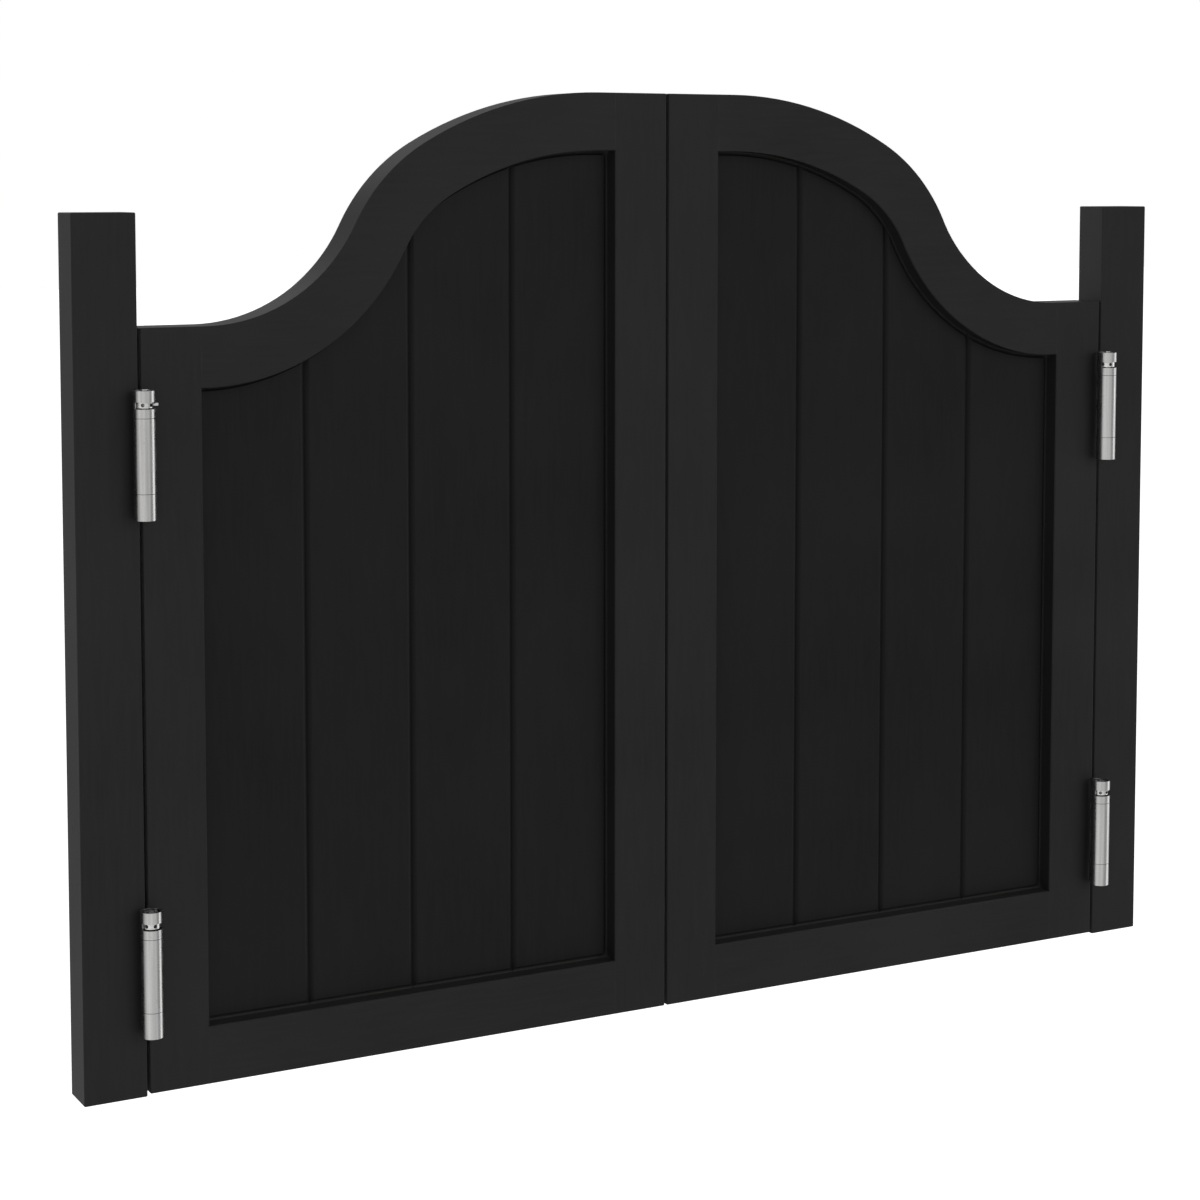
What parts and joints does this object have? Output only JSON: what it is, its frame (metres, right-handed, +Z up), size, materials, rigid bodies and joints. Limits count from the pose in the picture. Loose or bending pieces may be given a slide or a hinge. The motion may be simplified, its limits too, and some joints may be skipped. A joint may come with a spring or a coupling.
{
  "type": "cafe swinging doors",
  "caption": "Low double-action cafe doors with an ogee top and boarded panels, hung between two posts on steel spring hinges.",
  "frame": {"origin": "mid width and mid thickness, level with the feet of the posts", "axes": "+X to the right seen from the front, +Y to the back, +Z up"},
  "size_m": [0.914, 0.0652, 0.696],
  "materials": {
    "painted_frame": "satin black paint",
    "painted_boards": "satin black paint",
    "satin_steel": "satin",
    "spring_steel": "oiled",
    "nylon": "matte"
  },
  "bodies": {
    "posts": {"left_post": "painted_frame", "right_post": "painted_frame", "left_upper_post_leaf": "satin_steel", "left_lower_post_leaf": "satin_steel", "right_upper_post_leaf": "satin_steel", "right_lower_post_leaf": "satin_steel", "left_upper_front_spindle": "satin_steel", "left_lower_front_spindle": "satin_steel", "right_upper_rear_spindle": "satin_steel", "right_lower_rear_spindle": "satin_steel", "post_hinge_screws": "satin_steel", "post_barrel_plugs": "satin_steel", "post_tension_pins": "satin_steel"},
    "left_web": {"left_upper_web": "satin_steel", "left_lower_web": "satin_steel", "left_upper_front_spring": "spring_steel", "left_upper_rear_spring": "spring_steel", "left_lower_front_spring": "spring_steel", "left_lower_rear_spring": "spring_steel", "left_web_bushes": "nylon"},
    "left_door": {"left_hinge_stile": "painted_frame", "left_meeting_stile": "painted_frame", "left_bottom_rail": "painted_frame", "left_top_rail": "painted_frame", "left_board_1": "painted_boards", "left_board_2": "painted_boards", "left_board_3": "painted_boards", "left_board_4": "painted_boards", "left_upper_door_leaf": "satin_steel", "left_lower_door_leaf": "satin_steel", "left_upper_rear_spindle": "satin_steel", "left_lower_rear_spindle": "satin_steel", "left_door_hinge_screws": "satin_steel", "left_door_barrel_plugs": "satin_steel", "left_door_tension_pins": "satin_steel"},
    "right_web": {"right_upper_web": "satin_steel", "right_lower_web": "satin_steel", "right_upper_front_spring": "spring_steel", "right_upper_rear_spring": "spring_steel", "right_lower_front_spring": "spring_steel", "right_lower_rear_spring": "spring_steel", "right_web_bushes": "nylon"},
    "right_door": {"right_hinge_stile": "painted_frame", "right_meeting_stile": "painted_frame", "right_bottom_rail": "painted_frame", "right_top_rail": "painted_frame", "right_board_1": "painted_boards", "right_board_2": "painted_boards", "right_board_3": "painted_boards", "right_board_4": "painted_boards", "right_upper_door_leaf": "satin_steel", "right_lower_door_leaf": "satin_steel", "right_upper_front_spindle": "satin_steel", "right_lower_front_spindle": "satin_steel", "right_door_hinge_screws": "satin_steel", "right_door_barrel_plugs": "satin_steel", "right_door_tension_pins": "satin_steel"}
  },
  "joints": [
    {"name": "left_front_pivot", "type": "hinge", "parent": "posts", "child": "left_web", "pos_m": [-0.411, -0.025, 0], "axis": [0, 0, 1], "range_deg": [-100, 0], "stiffness_Nm_per_rad": 1.5, "springref_deg": 28.65},
    {"name": "left_rear_pivot", "type": "hinge", "parent": "left_web", "child": "left_door", "pos_m": [-0.411, 0.025, 0], "axis": [0, 0, 1], "range_deg": [0, 100], "stiffness_Nm_per_rad": 1.5, "springref_deg": -28.65},
    {"name": "right_rear_pivot", "type": "hinge", "parent": "posts", "child": "right_web", "pos_m": [0.411, 0.025, 0], "axis": [0, 0, 1], "range_deg": [-100, 0], "stiffness_Nm_per_rad": 1.5, "springref_deg": 28.65},
    {"name": "right_front_pivot", "type": "hinge", "parent": "right_web", "child": "right_door", "pos_m": [0.411, -0.025, 0], "axis": [0, 0, 1], "range_deg": [0, 100], "stiffness_Nm_per_rad": 1.5, "springref_deg": -28.65}
  ]
}
